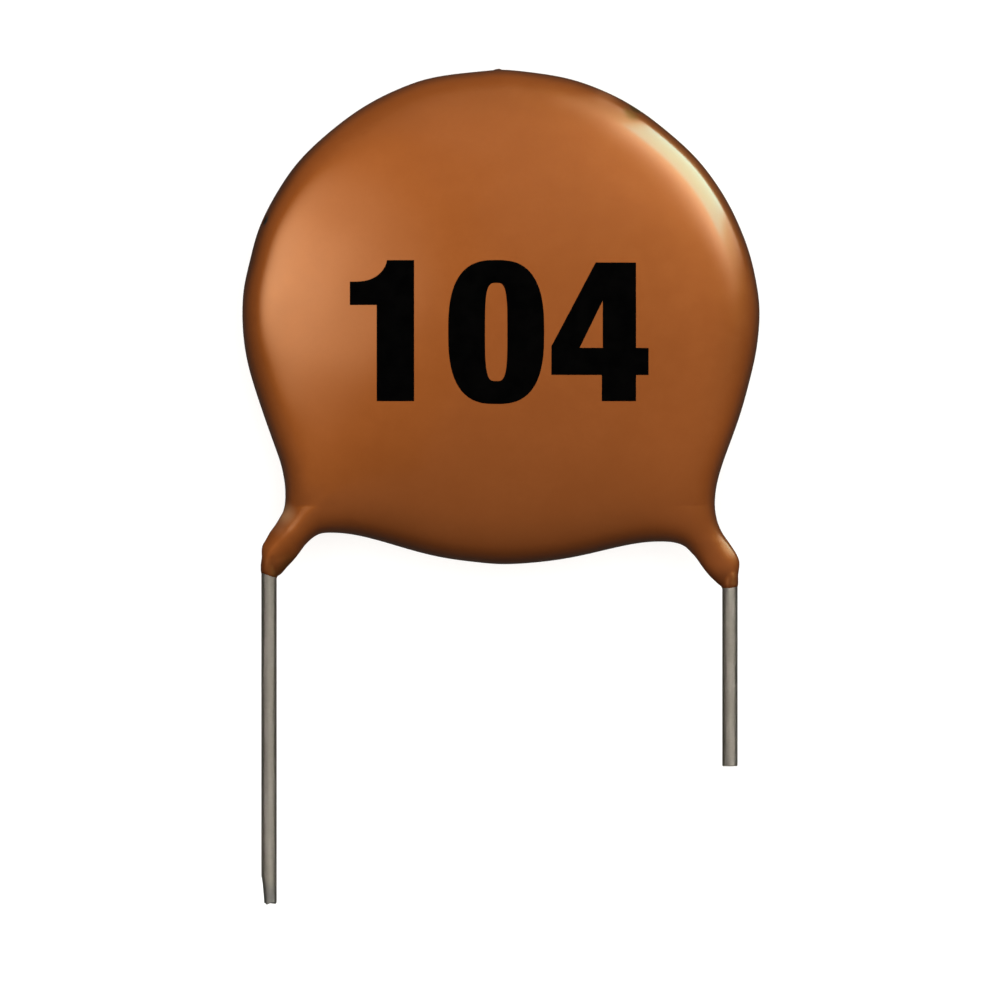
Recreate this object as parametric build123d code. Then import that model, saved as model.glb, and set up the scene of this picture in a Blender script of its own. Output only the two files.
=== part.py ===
from build123d import *
import math
import os

os.makedirs("parts", exist_ok=True)

# Ceramic disc capacitor, dipped, with two radial leads. Millimetres.
# It lies on its back: +Z out of the marked front face, +X to the right of the figures,
# +Y up the figures, away from the leads. The origin is the middle of the flat spot
# on the back, which is the surface it rests on.

# ---- driving dimensions ----------------------------------------------------
LEAD_DIA = 0.50  # tinned wire
LEFT_X = -7.55  # axis of the longer lead
RIGHT_X = 7.45  # axis of the shorter lead: 15.0 mm pitch
LEFT_TIP_Y = -19.13
RIGHT_TIP_Y = -14.68
LEFT_COAT_Y = -8.48  # where the coating ends and the bare wire starts
RIGHT_COAT_Y = -8.88
LEAD_BEND_R = 0.75  # inside the coating, where a lead turns from its leg to straight down

HALF_THICK = 2.00  # mid-plane to the top of the crown
CROWN_R = 34.0  # radius of both crowned faces
FLAT_DEPTH = 0.13  # how much of the back crown is flat
RIM_R = 1.08  # rounding of the rim
CERAMIC_R = 7.25
CERAMIC_T = 0.60
ELECTRODE_R = 6.60
ELECTRODE_T = 0.025
WIRE_GAP = 0.05  # solder film between a wire and its electrode
SOLDER_W = 1.70
SOLDER_H = 0.68
SOLDER_ROUND = 0.50
INK_T = 0.03

LEAD_R = LEAD_DIA / 2
MID_Z = HALF_THICK - FLAT_DEPTH  # height of the disc's mid-plane over the flat back
WIRE_Z = CERAMIC_T / 2 + ELECTRODE_T + WIRE_GAP + LEAD_R  # wire axis from the mid-plane

# Outline of the disc part of the coating, without its legs, in the mid-plane.
# A little wider than it is high, fuller at the upper left, drawn down at both shoulders.
OUTLINE = [
    (0.00, 7.99),
    (-2.64, 7.62),
    (-5.12, 6.49),
    (-7.10, 4.45),
    (-8.20, 1.90),
    (-8.42, -0.10),
    (-7.97, -2.35),
    (-7.30, -4.15),
    (-6.55, -5.50),
    (-5.35, -6.55),
    (-3.85, -7.25),
    (-2.20, -7.76),
    (-0.20, -8.07),
    (1.80, -7.98),
    (3.60, -7.53),
    (5.20, -6.85),
    (6.45, -5.72),
    (7.30, -4.30),
    (7.98, -2.40),
    (8.39, 0.00),
    (8.10, 1.90),
    (7.10, 4.00),
    (5.55, 5.78),
    (3.10, 7.38),
]

# Legs: (x, y, direction in degrees, half width across the leg, half thickness)
LEFT_LEG = [
    (-4.70, -5.15, 225, 2.32, 1.30),
    (-5.70, -6.04, 225, 1.58, 1.16),
    (-6.42, -6.70, 225, 0.92, 0.88),
    (-6.95, -7.27, 227, 0.61, 0.63),
    (-7.36, -7.80, 247, 0.48, 0.47),
    (-7.51, -8.17, 265, 0.37, 0.37),
    (-7.53, LEFT_COAT_Y, 270, 0.30, 0.29),
]
RIGHT_LEG = [
    (4.70, -4.90, 310, 2.32, 1.30),
    (5.70, -5.96, 308, 1.58, 1.16),
    (6.31, -6.81, 306, 0.92, 0.88),
    (6.80, -7.53, 305, 0.60, 0.62),
    (7.18, -8.12, 299, 0.48, 0.46),
    (7.42, -8.54, 277, 0.37, 0.36),
    (7.45, RIGHT_COAT_Y, 270, 0.29, 0.29),
]

# Figures of the printed value, as outlines in the plane of the front.
FIGURE_TOP = 1.79
FIGURE_BOTTOM = -2.80


# ---- coating, outer form -----------------------------------------------------
def leg(stations):
    sections = []
    for x, y, heading, half_w, half_t in stations:
        a = math.radians(heading)
        along = Vector(math.cos(a), math.sin(a), 0)
        across = Vector(-math.sin(a), math.cos(a), 0)
        plane = Plane(origin=(x, y, MID_Z), x_dir=across, z_dir=along)
        sections.append(plane * Ellipse(half_w, half_t))
    return loft(sections)


outline = Spline(*[(x, y, 0) for x, y in OUTLINE], periodic=True)
slab = extrude(make_face(outline), HALF_THICK, both=True)
front_ball = Pos(0, 0, HALF_THICK - CROWN_R) * Sphere(CROWN_R)
back_ball = Pos(0, 0, CROWN_R - HALF_THICK) * Sphere(CROWN_R)
lens = slab & front_ball & back_ball
rims = [e for e in lens.edges() if abs(e.center().Z) > 0.2 and e.length > 20]
lens = fillet(rims, RIM_R)
lens = Pos(0, 0, MID_Z) * lens

outer = lens + leg(LEFT_LEG) + leg(RIGHT_LEG)
below = Pos(0, 0, -1) * Box(30, 30, 2)  # the flat spot on the back lies at z = 0
outer = outer - below


# ---- leads ---------------------------------------------------------------------
def lead(points, radii):
    path = FilletPolyline(*points, radius=radii)
    start = path @ 0
    face = Plane(origin=start, z_dir=path % 0) * Circle(LEAD_R)
    return sweep(face, path=path)


# straight leg, a turn onto the slanting run, a slight turn level with the disc's face,
# and a level run past the middle of the disc
left_path = [
    (LEFT_X, LEFT_TIP_Y, MID_Z),
    (LEFT_X, -7.875, MID_Z),
    (-5.40, -5.725, MID_Z + WIRE_Z),
    (2.10, 1.775, MID_Z + WIRE_Z),
]
right_path = [
    (RIGHT_X, RIGHT_TIP_Y, MID_Z),
    (RIGHT_X, -8.33, MID_Z),
    (5.35, -5.62, MID_Z - WIRE_Z),
    (-1.90, 1.75, MID_Z - WIRE_Z),
]
left_lead = lead(left_path, [LEAD_BEND_R, 1.2])
right_lead = lead(right_path, [LEAD_BEND_R, 1.2])

# ---- inside --------------------------------------------------------------------
ceramic = Pos(0, 0, MID_Z) * Cylinder(CERAMIC_R, CERAMIC_T)
e_z = CERAMIC_T / 2 + ELECTRODE_T / 2
front_electrode = Pos(0, 0, MID_Z + e_z) * Cylinder(ELECTRODE_R, ELECTRODE_T)
back_electrode = Pos(0, 0, MID_Z - e_z) * Cylinder(ELECTRODE_R, ELECTRODE_T)


def solder_mound(start, end, side):
    """A rounded bar of solder over the level run of a wire, on its electrode."""
    (x0, y0), (x1, y1) = start, end
    length = math.hypot(x1 - x0, y1 - y0)
    slot = SlotCenterToCenter(length, SOLDER_W)
    bar = extrude(slot, SOLDER_H)
    top = bar.faces().sort_by(Axis.Z)[-1]
    bar = fillet(top.edges(), SOLDER_ROUND)
    if side < 0:
        bar = Rot(180, 0, 0) * bar
    angle = math.degrees(math.atan2(y1 - y0, x1 - x0))
    z = MID_Z + side * (CERAMIC_T / 2 + ELECTRODE_T)
    return Pos((x0 + x1) / 2, (y0 + y1) / 2, z) * Rot(0, 0, angle) * bar


front_solder = solder_mound((-2.90, -3.225), (1.85, 1.525), 1) - left_lead
back_solder = solder_mound((2.87, -3.10), (-1.65, 1.496), -1) - right_lead

coating = outer - ceramic - front_electrode - back_electrode
coating = coating - left_lead - right_lead - front_solder - back_solder


# ---- printed figures -------------------------------------------------------------
def one():
    pts = [
        (-2.83, FIGURE_BOTTOM),
        (-2.83, FIGURE_TOP),
        (-3.71, FIGURE_TOP),
    ]
    hook = Spline((-3.71, FIGURE_TOP), (-4.02, 1.36), (-4.46, 1.13), (-4.91, 1.07))
    rest = Polyline(
        (-4.91, 1.07),
        (-4.91, 0.33),
        (-4.05, 0.33),
        (-4.05, FIGURE_BOTTOM),
        (-2.83, FIGURE_BOTTOM),
    )
    return make_face(Polyline(*pts) + hook + rest)


def rounded(cx, cy, half_w, half_h, corner_h):
    """An upright rounded figure: straight sides with half-elliptical ends."""
    k = half_h - corner_h
    right = Line((cx + half_w, cy - k), (cx + half_w, cy + k))
    top = EllipticalCenterArc((cx, cy + k), half_w, corner_h, 0, arc_size=180)
    left = Line((cx - half_w, cy + k), (cx - half_w, cy - k))
    bottom = EllipticalCenterArc((cx, cy - k), half_w, corner_h, 180, arc_size=180)
    return make_face(right + top + left + bottom)


def zero():
    cy = (FIGURE_TOP + FIGURE_BOTTOM) / 2 - 0.05
    return rounded(-0.165, cy, 1.56, 2.34, 1.45) - rounded(
        -0.165, cy, 0.36, 1.59, 0.62
    )


def four():
    body = make_face(
        Polyline(
            (3.09, FIGURE_TOP - 0.06),
            (4.40, FIGURE_TOP - 0.06),
            (4.40, -1.07),
            (4.82, -1.07),
            (4.82, -1.95),
            (4.40, -1.95),
            (4.40, FIGURE_BOTTOM),
            (3.29, FIGURE_BOTTOM),
            (3.29, -1.95),
            (1.63, -1.95),
            (1.63, -1.01),
            (3.09, FIGURE_TOP - 0.06),
        )
    )
    hole = make_face(
        Polyline((3.32, 0.46), (3.32, -1.07), (2.57, -1.07), (3.32, 0.46))
    )
    return body - hole


ball_z = MID_Z + HALF_THICK - CROWN_R
ink_skin = Pos(0, 0, ball_z) * (Sphere(CROWN_R + INK_T) - Sphere(CROWN_R))
figures = []
for shape in (one(), zero(), four()):
    prism = Pos(0, 0, MID_Z + 1.0) * extrude(shape, 2.0)
    figures += (prism & ink_skin).solids()

# ---- write -----------------------------------------------------------------------
nodes = {
    "coating": coating.solids(),
    "left_lead": left_lead.solids(),
    "right_lead": right_lead.solids(),
    "ceramic_disc": ceramic.solids(),
    "front_electrode": front_electrode.solids(),
    "back_electrode": back_electrode.solids(),
    "front_solder": front_solder.solids(),
    "back_solder": back_solder.solids(),
    "value_mark": figures,
}
for name, solids in nodes.items():
    shape = solids[0] if len(solids) == 1 else Compound(children=list(solids))
    export_step(shape, "parts/" + name + ".step")
    box = shape.bounding_box()
    print(
        name,
        len(solids),
        "solid(s)",
        "volume %.3f" % sum(s.volume for s in solids),
        "x %.3f %.3f" % (box.min.X, box.max.X),
        "y %.3f %.3f" % (box.min.Y, box.max.Y),
        "z %.3f %.3f" % (box.min.Z, box.max.Z),
        "valid" if all(s.is_valid for s in solids) else "INVALID",
    )
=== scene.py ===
import math

import bmesh
import bpy
import numpy as np
from mathutils import Matrix, Vector
from mathutils.geometry import delaunay_2d_cdt


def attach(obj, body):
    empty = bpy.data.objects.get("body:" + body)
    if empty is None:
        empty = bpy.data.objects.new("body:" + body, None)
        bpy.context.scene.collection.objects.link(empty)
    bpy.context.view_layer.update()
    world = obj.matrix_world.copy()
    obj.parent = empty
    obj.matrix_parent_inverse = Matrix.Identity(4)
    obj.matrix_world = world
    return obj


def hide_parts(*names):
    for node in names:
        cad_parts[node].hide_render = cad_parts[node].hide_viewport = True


# Dipped ceramic disc capacitor, lying on its flat back, seen from straight above.
# Lengths are worked in millimetres and written to meshes in metres.

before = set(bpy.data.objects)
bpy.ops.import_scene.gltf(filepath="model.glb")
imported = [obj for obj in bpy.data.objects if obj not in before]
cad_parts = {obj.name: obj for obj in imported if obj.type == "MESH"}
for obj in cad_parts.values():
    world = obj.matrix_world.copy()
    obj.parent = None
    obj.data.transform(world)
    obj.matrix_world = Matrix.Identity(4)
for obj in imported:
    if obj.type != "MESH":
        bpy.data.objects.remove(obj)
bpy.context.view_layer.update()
MM = 0.001

# ---- facts shared with the frame ----------------------------------------------
MID_Z = 1.87  # height of the disc's mid-plane
HALF_THICK = 2.00
CROWN_R = 34.0
RIM_R = 1.10
LEAD_R = 0.25
WIRE_Z = 0.625
LEFT_COAT_Y = -8.48
RIGHT_COAT_Y = -8.88
CERAMIC_R = 7.25

LEFT_PATH = [
    (-7.55, -19.13, MID_Z),
    (-7.55, -7.875, MID_Z),
    (-5.40, -5.725, MID_Z + WIRE_Z),
    (2.10, 1.775, MID_Z + WIRE_Z),
]
RIGHT_PATH = [
    (7.45, -14.68, MID_Z),
    (7.45, -8.33, MID_Z),
    (5.35, -5.62, MID_Z - WIRE_Z),
    (-1.90, 1.75, MID_Z - WIRE_Z),
]
BENDS = [0.75, 1.2]

# Silhouette of the coating seen from the front, legs and all, from the top to the left.
OUTLINE = [
    (0.000, 7.977), (-0.832, 7.918), (-1.663, 7.826), (-2.489, 7.660), (-3.284, 7.375),
    (-4.052, 7.018), (-4.779, 6.578), (-5.460, 6.064), (-6.105, 5.497), (-6.691, 4.862),
    (-7.189, 4.151), (-7.619, 3.392), (-7.959, 2.586), (-8.185, 1.740), (-8.367, 0.879),
    (-8.417, 0.000), (-8.356, -0.878), (-8.197, -1.742), (-7.951, -2.583), (-7.667, -3.414),
    (-7.366, -4.253), (-7.169, -4.836), (-7.095, -5.155), (-7.040, -5.494), (-7.022, -5.800),
    (-7.030, -6.060), (-7.068, -6.297), (-7.114, -6.427), (-7.188, -6.557), (-7.345, -6.817),
    (-7.530, -7.078), (-7.673, -7.338), (-7.755, -7.478), (-7.788, -7.640), (-7.785, -7.850),
    (-7.752, -8.080), (-7.680, -8.300), (-7.560, -8.450), (-7.400, -8.515), (-7.260, -8.490),
    (-7.150, -8.420), (-7.022, -8.274), (-6.892, -8.130), (-6.762, -7.992), (-6.567, -7.749),
    (-6.405, -7.525), (-6.238, -7.345), (-6.062, -7.205), (-5.874, -7.115), (-5.613, -7.082),
    (-5.353, -7.085), (-4.850, -7.137), (-4.050, -7.321), (-3.250, -7.555), (-2.450, -7.778),
    (-1.650, -7.940), (-0.850, -8.037), (-0.050, -8.101), (0.750, -8.081), (1.550, -8.007),
    (2.350, -7.882), (3.150, -7.709), (3.950, -7.524), (4.750, -7.394), (5.321, -7.375),
    (5.600, -7.400), (5.851, -7.468), (6.040, -7.580), (6.186, -7.729), (6.316, -7.865),
    (6.502, -8.125), (6.700, -8.385), (6.860, -8.560), (6.984, -8.675), (7.100, -8.780),
    (7.200, -8.845), (7.310, -8.875), (7.420, -8.860), (7.520, -8.805), (7.600, -8.715),
    (7.660, -8.600), (7.708, -8.470), (7.742, -8.330), (7.760, -8.170), (7.755, -8.010), (7.703, -7.862),
    (7.647, -7.745), (7.530, -7.560), (7.400, -7.370), (7.290, -7.215), (7.198, -7.070),
    (7.125, -6.920), (7.071, -6.780), (7.020, -6.600), (6.988, -6.427), (6.972, -6.271),
    (6.968, -6.060), (6.988, -5.800), (7.033, -5.494), (7.203, -4.858), (7.514, -3.995),
    (7.805, -3.153), (8.048, -2.308), (8.256, -1.456), (8.384, -0.586), (8.410, 0.294),
    (8.291, 1.165), (8.086, 2.016), (7.782, 2.832), (7.406, 3.612), (6.953, 4.345),
    (6.430, 5.023), (5.826, 5.626), (5.176, 6.168), (4.499, 6.670), (3.773, 7.096),
    (3.004, 7.434), (2.204, 7.686), (1.383, 7.841), (0.555, 7.944),
]  # fmt: skip


# ---- curves --------------------------------------------------------------------
def smooth_loop(points, step):
    """A closed cubic spline through the points, sampled about every step."""
    p = np.array(points, float)
    n = len(p)
    h = np.linalg.norm(np.roll(p, -1, 0) - p, axis=1) ** 0.5
    a, b = np.zeros((n, n)), np.zeros((n, 2))
    for i in range(n):
        hm, hp = h[i - 1], h[i]
        a[i, i - 1] += hm
        a[i, i] += 2 * (hm + hp)
        a[i, (i + 1) % n] += hp
        b[i] = 6 * ((p[(i + 1) % n] - p[i]) / hp - (p[i] - p[i - 1]) / hm)
    m = np.linalg.solve(a, b)
    out = []
    for i in range(n):
        j = (i + 1) % n
        k = max(2, int(math.ceil(np.linalg.norm(p[j] - p[i]) / step)))
        s = (np.arange(k) / k * h[i])[:, None]
        r = h[i] - s
        out.append(
            (m[i] * r**3 + m[j] * s**3) / (6 * h[i])
            + (p[i] / h[i] - m[i] * h[i] / 6) * r
            + (p[j] / h[i] - m[j] * h[i] / 6) * s
        )
    return np.vstack(out)


def even(loop, spacing):
    """Points along a closed loop at a spacing that depends on where they are."""
    d = np.linalg.norm(np.roll(loop, -1, 0) - loop, axis=1)
    w = np.r_[0, np.cumsum(d / spacing(loop))]
    n = int(round(w[-1]))
    x = np.arange(n) * w[-1] / n
    ext = np.vstack([loop, loop[:1]])
    return np.stack([np.interp(x, w, ext[:, 0]), np.interp(x, w, ext[:, 1])], 1)


def filleted(points, radii, step):
    """A polyline with rounded corners, as points every step or closer on its bends."""
    p = [np.array(q, float) for q in points]
    out = [p[0]]
    for i, radius in enumerate(radii, 1):
        a, b = p[i] - p[i - 1], p[i + 1] - p[i]
        a, b = a / np.linalg.norm(a), b / np.linalg.norm(b)
        turn = math.acos(np.clip(a @ b, -1, 1))
        back = radius * math.tan(turn / 2)
        start = p[i] - a * back
        side = b - a * (a @ b)
        side /= np.linalg.norm(side)
        n = max(6, int(math.ceil(radius * turn / step)))
        for k in range(n + 1):
            t = turn * k / n
            out.append(start + a * radius * math.sin(t) + side * radius * (1 - math.cos(t)))
    out.append(p[-1])
    return np.array(out)


def resample(path, step):
    s = np.r_[0, np.cumsum(np.linalg.norm(np.diff(path, axis=0), axis=1))]
    n = int(math.ceil(s[-1] / step))
    x = np.linspace(0, s[-1], n + 1)
    return np.stack([np.interp(x, s, path[:, k]) for k in range(3)], 1)


def inside(px, py, loop):
    hit = np.zeros(len(px), bool)
    for (x0, y0), (x1, y1) in zip(loop, loop[1:] + loop[:1]):
        cut = (y0 > py) != (y1 > py)
        if y0 != y1:
            hit ^= cut & (px < (x1 - x0) * (py - y0) / (y1 - y0) + x0)
    return hit


def gap_to(px, py, loop):
    best = np.full(len(px), 9.0)
    for (x0, y0), (x1, y1) in zip(loop, loop[1:] + loop[:1]):
        dx, dy = x1 - x0, y1 - y0
        t = np.clip(((px - x0) * dx + (py - y0) * dy) / max(dx * dx + dy * dy, 1e-12), 0, 1)
        best = np.minimum(best, np.hypot(px - x0 - t * dx, py - y0 - t * dy))
    return best


# ---- the coating's surface, as a function that is positive inside ----------------
def leg_share(x, y):
    """0 on the disc, 1 on the legs, with its slopes along x and y."""
    a, b = (-6.2 - y) / 1.2, (np.abs(x) - 5.0) / 1.2
    ca, cb = np.clip(a, 0, 1), np.clip(b, 0, 1)
    return (
        ca * cb,
        ca * np.sign(x) / 1.2 * ((b > 0) & (b < 1)),
        -cb / 1.2 * ((a > 0) & (a < 1)),
    )


class Swell:
    """The height squared of a skin blown up over the outline: it is nought on the
    outline, rises at once there, and levels out to the crown."""

    def __init__(self):
        dense = smooth_loop(OUTLINE, 0.01)
        edge = even(dense, lambda p: 0.085 - 0.050 * leg_share(p[:, 0], p[:, 1])[0])
        roots = even(dense, lambda p: 0.20 - 0.115 * leg_share(p[:, 0], p[:, 1])[0])
        tangent = np.roll(roots, -1, 0) - np.roll(roots, 1, 0)
        tangent /= np.linalg.norm(tangent, axis=1)[:, None]
        outward = np.stack([tangent[:, 1], -tangent[:, 0]], 1)
        off = 0.42 - 0.24 * leg_share(roots[:, 0], roots[:, 1])[0]
        self.charges = roots + outward * off[:, None]
        a = np.hstack([0.5 * np.log(self.gaps(edge)), np.ones((len(edge), 1))])
        b = (edge**2).sum(1) / 4
        keep = 1e-6 * np.eye(a.shape[1])
        self.w = np.linalg.lstsq(
            np.vstack([a, keep]), np.r_[b, np.zeros(a.shape[1])], rcond=None
        )[0]
        self.edge = edge

    def gaps(self, p):
        """Squares of the distances from points to the charges."""
        c = self.charges
        return np.maximum((p**2).sum(1)[:, None] - 2 * (p @ c.T) + (c**2).sum(1)[None, :], 1e-9)

    def u(self, x, y):
        """The field over points of the mid-plane, with its slopes along x and y."""
        p = np.stack([x.ravel(), y.ravel()], 1)
        w, c = self.w[:-1], self.charges
        pull = np.stack([w, w * c[:, 0], w * c[:, 1]], 1)
        out = np.empty((len(p), 3))
        for i in range(0, len(p), 20000):
            q = p[i : i + 20000]
            g = self.gaps(q)
            s = (1 / g) @ pull
            out[i : i + 20000, 0] = 0.5 * (np.log(g) @ w) + self.w[-1] - (q**2).sum(1) / 4
            out[i : i + 20000, 1] = q[:, 0] * s[:, 0] - s[:, 1] - q[:, 0] / 2
            out[i : i + 20000, 2] = q[:, 1] * s[:, 0] - s[:, 2] - q[:, 1] / 2
        return [out[:, k].reshape(x.shape) for k in range(3)]


swell = Swell()


def height_sq(x, y):
    """Square of the coating's half thickness over points of the mid-plane, with its
    slopes along x and y."""
    u, ux, uy = swell.u(x, y)
    leg, lx, ly = leg_share(x, y)
    c = 2 * RIM_R / 4.1
    k = c * (1 + 0.55 * leg)
    rise, rx, ry = k * u, k * ux + c * 0.55 * lx * u, k * uy + c * 0.55 * ly * u
    b = 1.014 + u / (CROWN_R / 2)
    crown, cx, cy = b * b, 2 * b * ux / (CROWN_R / 2), 2 * b * uy / (CROWN_R / 2)
    safe = np.maximum(rise, 1e-6)
    g = (safe**-3.0 + crown**-3.0) ** (-1 / 3)
    s, t = (g / safe) ** 4, (g / crown) ** 4
    out = rise <= 1e-6
    return (
        np.where(out, rise, g),
        np.where(out, rx, s * rx + t * cx),
        np.where(out, ry, s * ry + t * cy),
    )


def ripple(x, y, z):
    """Slow unevenness of a dipped skin, a few thousandths of a millimetre."""
    return (
        0.0030 * np.sin(1.31 * x + 0.72 * y + 0.9 * z + 0.4)
        + 0.0026 * np.sin(-0.84 * x + 1.63 * y - 1.1 * z + 2.1)
        + 0.0016 * np.sin(2.25 * x - 1.24 * y + 1.7 * z + 5.2)
        + 0.0011 * np.sin(2.9 * y + 1.1 * x - 0.8 * z + 1.3)
    )


# small faults: place, radius, how far in (+) or out (-) the skin goes
FAULTS = [
    (4.31, 6.62, MID_Z + 0.50, 0.27, 0.070),  # dent by the upper right rim
    (-7.68, 3.06, MID_Z + 0.40, 0.15, 0.060),  # pit on the left rim
    (-0.10, 8.00, MID_Z, 0.10, -0.05),  # nib at the top
]

left_centre = filleted(LEFT_PATH, BENDS, 0.05)
right_centre = filleted(RIGHT_PATH, BENDS, 0.05)


def covered(centre, end_y):
    """The part of a wire's line that the coating's leg covers, out to its end."""
    p = resample(centre[centre[:, 1] < -4.4], 0.12)
    p = p[p[:, 1] > end_y - 0.4]
    s = np.r_[0, np.cumsum(np.linalg.norm(np.diff(p, axis=0), axis=1))]
    at_end = np.interp(end_y, p[:, 1], s)
    return p, s - at_end


LEFT_COVER = covered(left_centre, LEFT_COAT_Y)
RIGHT_COVER = covered(right_centre, RIGHT_COAT_Y)


def sleeve(q, cover, tilt):
    """How deep points are in the resin that has run along one wire."""
    p, s = cover
    a, d = p[:-1], np.diff(p, axis=0)
    best = np.full(len(q), 1e9)
    along = np.zeros(len(q))
    for i in range(len(a)):
        t = np.clip(((q - a[i]) @ d[i]) / (d[i] @ d[i]), 0, 1)
        r = np.linalg.norm(q - a[i] - t[:, None] * d[i], axis=1)
        near = r < best
        best[near] = r[near]
        along[near] = (s[i] + t * (s[i + 1] - s[i]))[near]
    x = q[:, 0] - p[0, 0]
    z = q[:, 2] - MID_Z
    along = along + tilt * x - 0.05 * z + 0.025 * np.sin(9 * x + 4 * z)
    film = (
        0.020 * np.clip(along / 0.06, -2, 1)
        + 0.008 * np.clip(along / 0.6, 0, 1)
        + 0.13 * np.clip((along - 0.6) / 1.3, 0, 1)
    )
    return LEAD_R + film - best, along


def soft_max(a, b, k):
    h = np.maximum(k - np.abs(a - b), 0) / k
    return np.maximum(a, b) + h * h * k / 4


def depth_from(q, g, gx, gy):
    """Depth of points inside the skin, from the height field and its slopes there."""
    x, y, z = q[:, 0], q[:, 1], q[:, 2] - MID_Z
    f = g - z * z
    d = f / np.sqrt(gx**2 + gy**2 + 4 * z * z + 0.02)
    d = d + ripple(x, y, z)
    low = (y < -4.8) & (np.abs(x) > 3.6)
    if low.any():
        side = q[low]
        lft = side[:, 0] < 0
        v, along = np.full(len(side), -9.0), np.zeros(len(side))
        if lft.any():
            v[lft], along[lft] = sleeve(side[lft], LEFT_COVER, 0.25)
        if (~lft).any():
            v[~lft], along[~lft] = sleeve(side[~lft], RIGHT_COVER, -0.2)
        fade = np.clip((-4.8 - side[:, 1]) / 0.5, 0, 1)
        v = v - (1 - fade) * 0.6
        blend = 0.03 + 0.17 * np.clip((along - 0.5) / 1.0, 0, 1)
        d[low] = soft_max(d[low], v, blend)
    for fx, fy, fz, r, amount in FAULTS:
        k = ((x - fx) ** 2 + (y - fy) ** 2 + (z + MID_Z - fz) ** 2) / (r * r)
        near = k < 9
        d[near] -= amount * np.exp(-k[near])
    # the flat spot that it rests on
    return -soft_max(-d, -(z + MID_Z), 0.03)


def depth(q):
    return depth_from(q, *height_sq(q[:, 0], q[:, 1]))


def grad(q, e=0.005):
    out = np.empty_like(q)
    for k in range(2):
        s = np.zeros(3)
        s[k] = e
        out[:, k] = (depth(q + s) - depth(q - s)) / (2 * e)
    here = height_sq(q[:, 0], q[:, 1])
    s = np.array([0, 0, e])
    out[:, 2] = (depth_from(q + s, *here) - depth_from(q - s, *here)) / (2 * e)
    return out


def surface_nets(f, lo, step):
    """A closed quad mesh around the positive part of a grid of values."""
    shape = np.array(f.shape) - 1
    total = np.zeros((*shape, 3))
    count = np.zeros(shape)
    corner = [slice(0, -1), slice(1, None)]
    for axis in range(3):
        others = [k for k in range(3) if k != axis]
        for a in (0, 1):
            for b in (0, 1):
                at0, at1 = [None] * 3, [None] * 3
                at0[axis], at1[axis] = corner[0], corner[1]
                for k, bit in zip(others, (a, b)):
                    at0[k] = at1[k] = corner[bit]
                v0, v1 = f[tuple(at0)], f[tuple(at1)]
                cross = (v0 > 0) != (v1 > 0)
                t = np.where(cross, v0 / np.where(cross, v0 - v1, 1), 0)
                total[..., axis] += np.where(cross, t, 0)
                total[..., others[0]] += cross * a
                total[..., others[1]] += cross * b
                count += cross
    live = count > 0
    index = np.full(shape, -1)
    index[live] = np.arange(live.sum())
    cells = np.argwhere(live)
    points = lo + step * (cells + total[live] / count[live][:, None])
    faces = []
    inside = f > 0
    for axis in range(3):
        u, v = (axis + 1) % 3, (axis + 2) % 3
        a = np.take(inside, range(0, f.shape[axis] - 1), axis)
        b = np.take(inside, range(1, f.shape[axis]), axis)
        at = np.argwhere(a != b)
        at = at[(at[:, u] > 0) & (at[:, v] > 0) & (at[:, u] < shape[u]) & (at[:, v] < shape[v])]
        ring = []
        for du, dv in ((-1, -1), (0, -1), (0, 0), (-1, 0)):
            c = at.copy()
            c[:, u] += du
            c[:, v] += dv
            ring.append(index[tuple(c.T)])
        quad = np.stack(ring, 1)
        flip = ~a[tuple(at.T)]
        quad[flip] = quad[flip][:, ::-1]
        faces.append(quad)
    return points, np.vstack(faces)


def build_skin(step):
    lo = np.array([-8.75, -9.80, -0.35])
    hi = np.array([8.75, 8.45, 4.2])
    n = np.ceil((hi - lo) / step).astype(int) + 1
    xs, ys, zs = (lo[k] + step * np.arange(n[k]) for k in range(3))
    gx2, gy2 = np.meshgrid(xs, ys, indexing="ij")
    g, sx, sy = height_sq(gx2, gy2)
    # away from the outline the field means nothing
    flat, edge = (gx2.ravel(), gy2.ravel()), [tuple(q) for q in swell.edge]
    away = ~inside(*flat, edge) & (gap_to(*flat, edge) > 0.02)
    g = np.where(away.reshape(g.shape), np.minimum(g, -0.2), g)
    f = np.empty(n)
    for k, z in enumerate(zs):
        q = np.stack([gx2.ravel(), gy2.ravel(), np.full(gx2.size, z)], 1)
        f[:, :, k] = depth_from(q, g.ravel(), sx.ravel(), sy.ravel()).reshape(g.shape)
    points, faces = surface_nets(f, lo, step)
    edges = np.vstack([faces[:, [k, (k + 1) % 4]] for k in range(4)])
    for turn in range(3):
        for _ in range(2 if turn == 0 else 1):
            d, s = depth(points), grad(points)
            move = -(d / np.maximum((s**2).sum(1), 0.05))[:, None] * s
            size = np.linalg.norm(move, axis=1)
            points = points + move * np.minimum(1, 0.5 * step / np.maximum(size, 1e-9))[:, None]
        if turn < 2:
            near = np.zeros_like(points)
            times = np.zeros(len(points))
            np.add.at(near, edges[:, 0], points[edges[:, 1]])
            np.add.at(near, edges[:, 1], points[edges[:, 0]])
            np.add.at(times, edges.ravel(), 1)
            points = 0.4 * points + 0.6 * near / times[:, None]
    s = grad(points)
    normals = -s / np.linalg.norm(s, axis=1)[:, None]
    points[:, 2] = np.maximum(points[:, 2], 0.0)
    return points, faces, normals


def face_top(x, y):
    """Height of the coating's front face over points of the mid-plane."""
    z = MID_Z + np.sqrt(np.maximum(height_sq(x, y)[0], 0))
    q = np.stack([x, y, z], 1)
    for _ in range(3):
        q[:, 2] += depth(q)
    return q[:, 2]


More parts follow.
